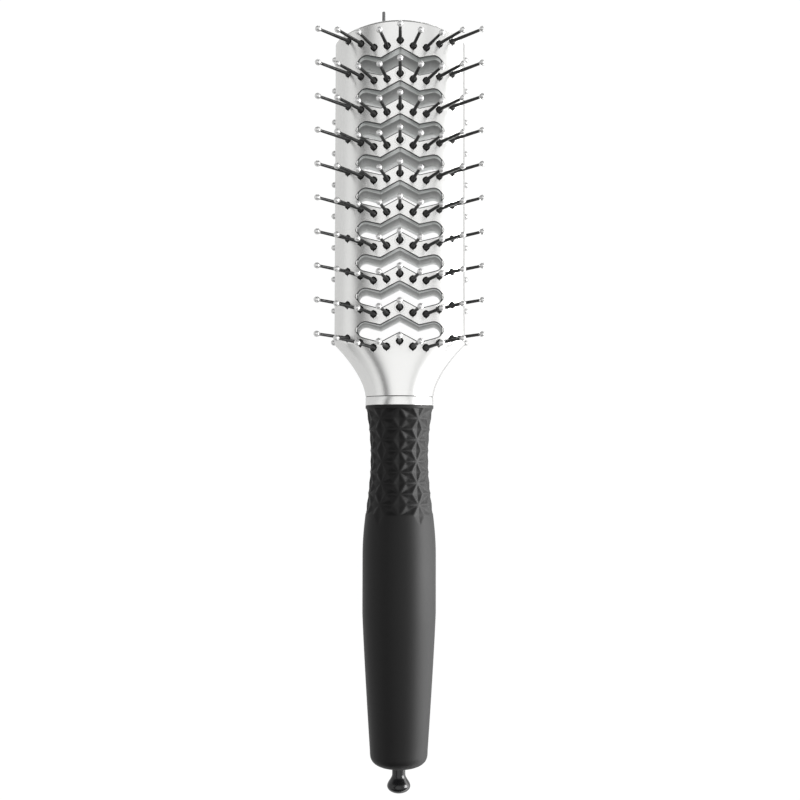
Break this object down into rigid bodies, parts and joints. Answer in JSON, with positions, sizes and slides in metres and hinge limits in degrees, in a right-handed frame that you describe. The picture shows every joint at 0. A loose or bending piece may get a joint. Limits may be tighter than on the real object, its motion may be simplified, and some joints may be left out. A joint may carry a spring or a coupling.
{
  "type": "vent brush",
  "caption": "Double sided vent brush: flattened silver tube head with zigzag air vents, fanned ball tipped pins, round grip with faceted relief, pull-out sectioning pick.",
  "frame": {"origin": "on the handle's axis, in the middle of the handle's widest stretch", "axes": "+Y along the handle's axis towards the head, +Z out of the front face, where the long pins stand, +X to the right seen from the front with the head up"},
  "size_m": [0.0492, 0.2305, 0.042],
  "materials": {
    "head_silver": "satin metallic silver paint on moulded plastic",
    "core_grey": "grey moulded plastic",
    "pin_nylon": "charcoal nylon",
    "tip_pearl": "glossy silver grey ball tips",
    "soft_black": "soft-touch matt black",
    "pick_black": "polished black plastic"
  },
  "bodies": {
    "brush": {"front_shell": "head_silver", "back_shell": "head_silver", "core_frame": "core_grey", "neck_collar": "head_silver", "handle": "soft_black", "end_stub": "pin_nylon", "front_ball_tips": "tip_pearl", "back_ball_tips": "tip_pearl", "front_pin_row_1": "pin_nylon", "front_pin_row_2": "pin_nylon", "front_pin_row_3": "pin_nylon", "front_pin_row_4": "pin_nylon", "front_pin_row_5": "pin_nylon", "front_pin_row_6": "pin_nylon", "front_pin_row_7": "pin_nylon", "front_pin_row_8": "pin_nylon", "front_pin_row_9": "pin_nylon", "front_pin_row_10": "pin_nylon", "back_pin_row_1": "pin_nylon", "back_pin_row_2": "pin_nylon", "back_pin_row_3": "pin_nylon", "back_pin_row_4": "pin_nylon", "back_pin_row_5": "pin_nylon", "back_pin_row_6": "pin_nylon", "back_pin_row_7": "pin_nylon", "back_pin_row_8": "pin_nylon", "back_pin_row_9": "pin_nylon", "back_pin_row_10": "pin_nylon"},
    "pick": {"sectioning_pick": "pick_black"}
  },
  "joints": [
    {"name": "pick_slide", "type": "slide", "parent": "brush", "child": "pick", "axis": [0, -1, 0], "range_m": [0, 0.07]}
  ]
}
